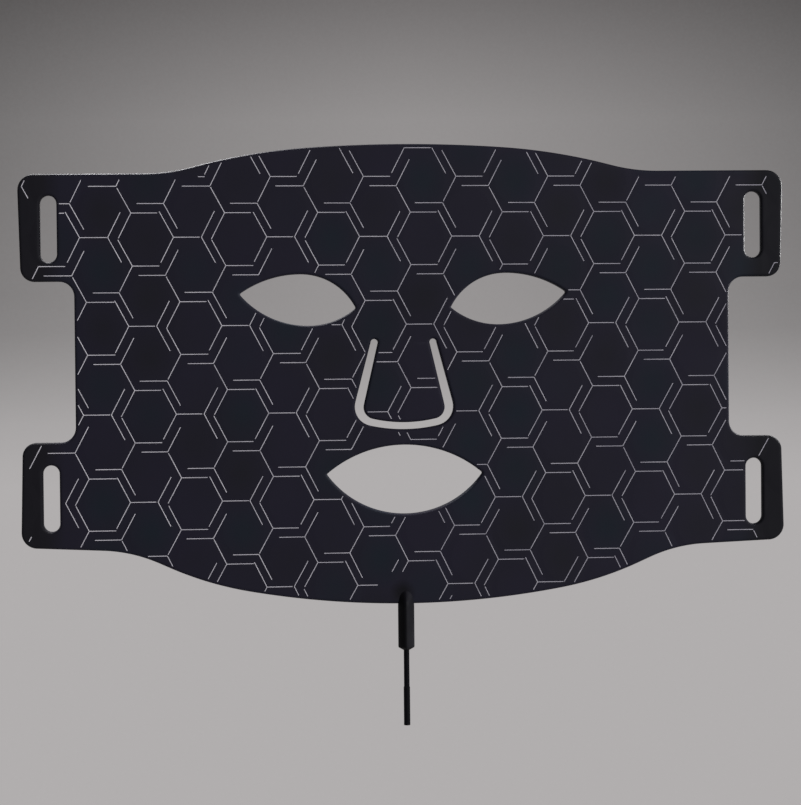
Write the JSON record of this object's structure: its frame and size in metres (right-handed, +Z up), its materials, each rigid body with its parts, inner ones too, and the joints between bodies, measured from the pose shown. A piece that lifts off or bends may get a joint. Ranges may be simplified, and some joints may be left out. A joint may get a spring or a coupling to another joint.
{
  "type": "led_face_mask",
  "caption": "Flexible black silicone LED face mask with a hexagonal facet pattern, almond eye openings, mouth opening, lifting nose flap, slotted strap tabs and a short lead at the chin",
  "frame": {"origin": "On the skin side of the mask, between the eyes at eye height, where it lies on the wearer's nose bridge.", "axes": "+X to the right of someone facing the patterned front, +Y from the front towards the wearer, +Z up."},
  "size_m": [0.3566, 0.01, 0.2715],
  "materials": {
    "front_silicone": "satin",
    "back_silicone": "matte",
    "board": "satin",
    "led_package": "satin",
    "resistor": "matte",
    "lens": "gloss",
    "boot_rubber": "satin",
    "anchor_plastic": "matte",
    "red_insulation": "satin",
    "black_insulation": "satin",
    "solder": "satin",
    "lead_rubber": "satin",
    "connector_plastic": "satin",
    "insulator_plastic": "matte",
    "contact_metal": "polished"
  },
  "bodies": {
    "mask_centre": {"front_skin_centre": "front_silicone", "back_skin_centre": "back_silicone", "flex_board_centre": "board", "leds_centre": "led_package", "resistors_centre": "resistor", "lenses_centre": "lens", "cable_boot": "boot_rubber", "boot_anchor": "anchor_plastic", "conductor_red": "red_insulation", "conductor_black": "black_insulation", "lead_solder_pads": "solder", "lead_jacket": "lead_rubber", "lead_connector": "connector_plastic", "connector_insulator": "insulator_plastic", "connector_contacts": "contact_metal"},
    "left_cheek": {"front_skin_left_cheek": "front_silicone", "back_skin_left_cheek": "back_silicone", "flex_board_left_cheek": "board", "leds_left_cheek": "led_package", "resistors_left_cheek": "resistor", "lenses_left_cheek": "lens"},
    "left_side": {"front_skin_left_side": "front_silicone", "back_skin_left_side": "back_silicone", "flex_board_left_side": "board", "leds_left_side": "led_package", "resistors_left_side": "resistor", "lenses_left_side": "lens"},
    "right_cheek": {"front_skin_right_cheek": "front_silicone", "back_skin_right_cheek": "back_silicone", "flex_board_right_cheek": "board", "leds_right_cheek": "led_package", "resistors_right_cheek": "resistor", "lenses_right_cheek": "lens"},
    "right_side": {"front_skin_right_side": "front_silicone", "back_skin_right_side": "back_silicone", "flex_board_right_side": "board", "leds_right_side": "led_package", "resistors_right_side": "resistor", "lenses_right_side": "lens"},
    "upper_left_tab": {"strap_tab_upper_left": "front_silicone"},
    "upper_right_tab": {"strap_tab_upper_right": "front_silicone"},
    "lower_left_tab": {"strap_tab_lower_left": "front_silicone"},
    "lower_right_tab": {"strap_tab_lower_right": "front_silicone"},
    "nose_flap": {"nose_flap_front_skin": "front_silicone", "nose_flap_back_skin": "back_silicone", "nose_flap_board": "board", "nose_flap_leds": "led_package", "nose_flap_lenses": "lens"}
  },
  "joints": [
    {"name": "left_cheek_bend", "type": "hinge", "parent": "mask_centre", "child": "left_cheek", "pos_m": [-0.049, 0, 0], "axis": [0, 0, -1], "range_deg": [0, 35], "stiffness_Nm_per_rad": 0.03},
    {"name": "left_side_bend", "type": "hinge", "parent": "left_cheek", "child": "left_side", "pos_m": [-0.1, 0, 0], "axis": [0, 0, -1], "range_deg": [0, 40], "stiffness_Nm_per_rad": 0.03},
    {"name": "upper_left_tab_bend", "type": "hinge", "parent": "left_side", "child": "upper_left_tab", "pos_m": [-0.156, 0, 0.034], "axis": [0, 0, -1], "range_deg": [0, 25], "stiffness_Nm_per_rad": 0.01},
    {"name": "lower_left_tab_bend", "type": "hinge", "parent": "left_side", "child": "lower_left_tab", "pos_m": [-0.156, 0, -0.091], "axis": [0, 0, -1], "range_deg": [0, 25], "stiffness_Nm_per_rad": 0.01},
    {"name": "right_cheek_bend", "type": "hinge", "parent": "mask_centre", "child": "right_cheek", "pos_m": [0.049, 0, 0], "axis": [0, 0, 1], "range_deg": [0, 35], "stiffness_Nm_per_rad": 0.03},
    {"name": "right_side_bend", "type": "hinge", "parent": "right_cheek", "child": "right_side", "pos_m": [0.1, 0, 0], "axis": [0, 0, 1], "range_deg": [0, 40], "stiffness_Nm_per_rad": 0.03},
    {"name": "upper_right_tab_bend", "type": "hinge", "parent": "right_side", "child": "upper_right_tab", "pos_m": [0.156, 0, 0.034], "axis": [0, 0, 1], "range_deg": [0, 25], "stiffness_Nm_per_rad": 0.01},
    {"name": "lower_right_tab_bend", "type": "hinge", "parent": "right_side", "child": "lower_right_tab", "pos_m": [0.156, 0, -0.091], "axis": [0, 0, 1], "range_deg": [0, 25], "stiffness_Nm_per_rad": 0.01},
    {"name": "nose_flap_lift", "type": "hinge", "parent": "mask_centre", "child": "nose_flap", "pos_m": [0, -0.006, -0.0195], "axis": [-1, 0, 0], "range_deg": [0, 30], "stiffness_Nm_per_rad": 0.01}
  ]
}
